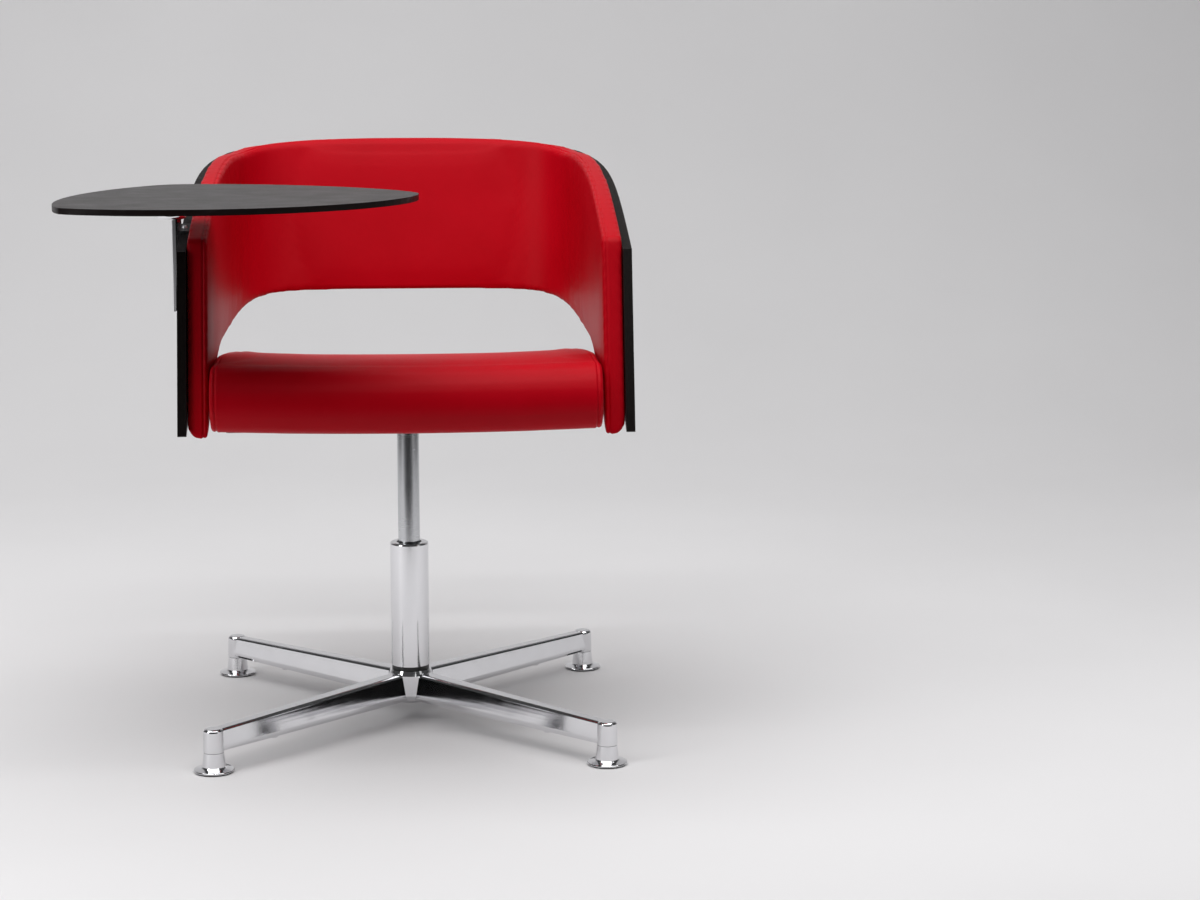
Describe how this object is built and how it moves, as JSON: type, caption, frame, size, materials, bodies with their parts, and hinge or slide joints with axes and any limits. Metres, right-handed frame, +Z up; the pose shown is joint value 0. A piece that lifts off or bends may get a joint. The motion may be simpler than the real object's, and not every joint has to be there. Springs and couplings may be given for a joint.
{
  "type": "student desk chair",
  "caption": "Swivel height-adjustable armchair with a U-shaped dark veneered plywood shell, red leather cushion and pads, four-leg glide base and a swinging writing tablet",
  "frame": {"origin": "on the floor under the column axis, midway between the four glides", "axes": "+Z up, the chair faces -Y, the sitter's right hand and the tablet are on the -X side"},
  "size_m": [0.6753, 0.8353, 0.7421],
  "materials": {
    "polished_chrome": "mirror-bright chrome plating on steel",
    "polished_alloy": "cast aluminium, polished and chrome plated",
    "satin_tube": "ground and satin-chromed steel",
    "zinc_steel": "zinc-plated or brushed steel hardware",
    "dark_steel": "black powder coat",
    "glide_rubber": "matte black rubber",
    "black_plastic": "moulded black nylon, fine texture",
    "grey_pan": "moulded grey plastic, satin",
    "birch_board": "raw birch plywood",
    "wenge_veneer": "dark wenge veneer with satin lacquer, near-black edges",
    "tablet_laminate": "dark grey laminate on compact board, black edge",
    "foam": "cut polyurethane foam",
    "red_leather": "smooth red upholstery leather, semi-gloss with fine grain"
  },
  "bodies": {
    "base": {"base_star": "polished_alloy", "glide_stems": "zinc_steel", "base_ring": "black_plastic", "stand_tube": "polished_chrome", "guide_bush": "black_plastic", "thrust_bearing": "zinc_steel"},
    "glide_fr": {"glide_foot_fr": "polished_alloy", "glide_pad_fr": "glide_rubber"},
    "glide_fl": {"glide_foot_fl": "polished_alloy", "glide_pad_fl": "glide_rubber"},
    "glide_bl": {"glide_foot_bl": "polished_alloy", "glide_pad_bl": "glide_rubber"},
    "glide_br": {"glide_foot_br": "polished_alloy", "glide_pad_br": "glide_rubber"},
    "rod": {"piston_rod": "satin_tube", "rod_clip": "dark_steel"},
    "seat": {"pressure_tube": "satin_tube", "seat_plate": "dark_steel", "lever_pin": "zinc_steel", "seat_pan": "grey_pan", "seat_board": "birch_board", "board_screws": "zinc_steel", "seat_foam": "foam", "seat_cover": "red_leather", "shell_strap": "dark_steel", "plywood_band": "wenge_veneer", "pad_foam": "foam", "pad_cover": "red_leather", "shell_screws": "zinc_steel", "tablet_post": "polished_chrome", "post_screws": "zinc_steel", "edge_clip": "black_plastic", "clip_screw": "zinc_steel", "link_cap": "polished_chrome"},
    "lever": {"release_lever": "black_plastic"},
    "button": {"release_button": "zinc_steel"},
    "link": {"link_arm": "polished_chrome", "hub_pin": "zinc_steel"},
    "tablet": {"tablet_hub": "polished_chrome", "hub_screws": "zinc_steel", "tablet_top": "tablet_laminate"}
  },
  "joints": [
    {"name": "glide_turn_fr", "type": "hinge", "parent": "base", "child": "glide_fr", "pos_m": [-0.24183, -0.24183, 0.02], "axis": [0, 0, 1], "continuous": true},
    {"name": "glide_turn_fl", "type": "hinge", "parent": "base", "child": "glide_fl", "pos_m": [0.24183, -0.24183, 0.02], "axis": [0, 0, 1], "continuous": true},
    {"name": "glide_turn_bl", "type": "hinge", "parent": "base", "child": "glide_bl", "pos_m": [0.24183, 0.24183, 0.02], "axis": [0, 0, 1], "continuous": true},
    {"name": "glide_turn_br", "type": "hinge", "parent": "base", "child": "glide_br", "pos_m": [-0.24183, 0.24183, 0.02], "axis": [0, 0, 1], "continuous": true},
    {"name": "seat_swivel", "type": "hinge", "parent": "base", "child": "rod", "pos_m": [0, 0, 0.086], "axis": [0, 0, 1], "continuous": true},
    {"name": "seat_lift", "type": "slide", "parent": "rod", "child": "seat", "axis": [0, 0, 1], "range_m": [-0.095, 0]},
    {"name": "lever_tilt", "type": "hinge", "parent": "seat", "child": "lever", "pos_m": [-0.034, 0, 0.408], "axis": [0, 1, 0], "range_deg": [0, 1.8], "stiffness_Nm_per_rad": 2, "springref_deg": -6},
    {"name": "button_press", "type": "slide", "parent": "seat", "child": "button", "axis": [0, 0, -1], "range_m": [0, 0.0011]},
    {"name": "link_swing", "type": "hinge", "parent": "seat", "child": "link", "pos_m": [-0.285, -0.066, 0.677], "axis": [0, 0, 1], "range_deg": [-100, 8]},
    {"name": "tablet_swing", "type": "hinge", "parent": "link", "child": "tablet", "pos_m": [-0.285, -0.141, 0.69], "axis": [0, 0, 1], "range_deg": [-45, 60]}
  ],
  "couplings": [
    {"joint": "button_press", "follows": "lever_tilt", "m_per_rad": 0.034}
  ]
}
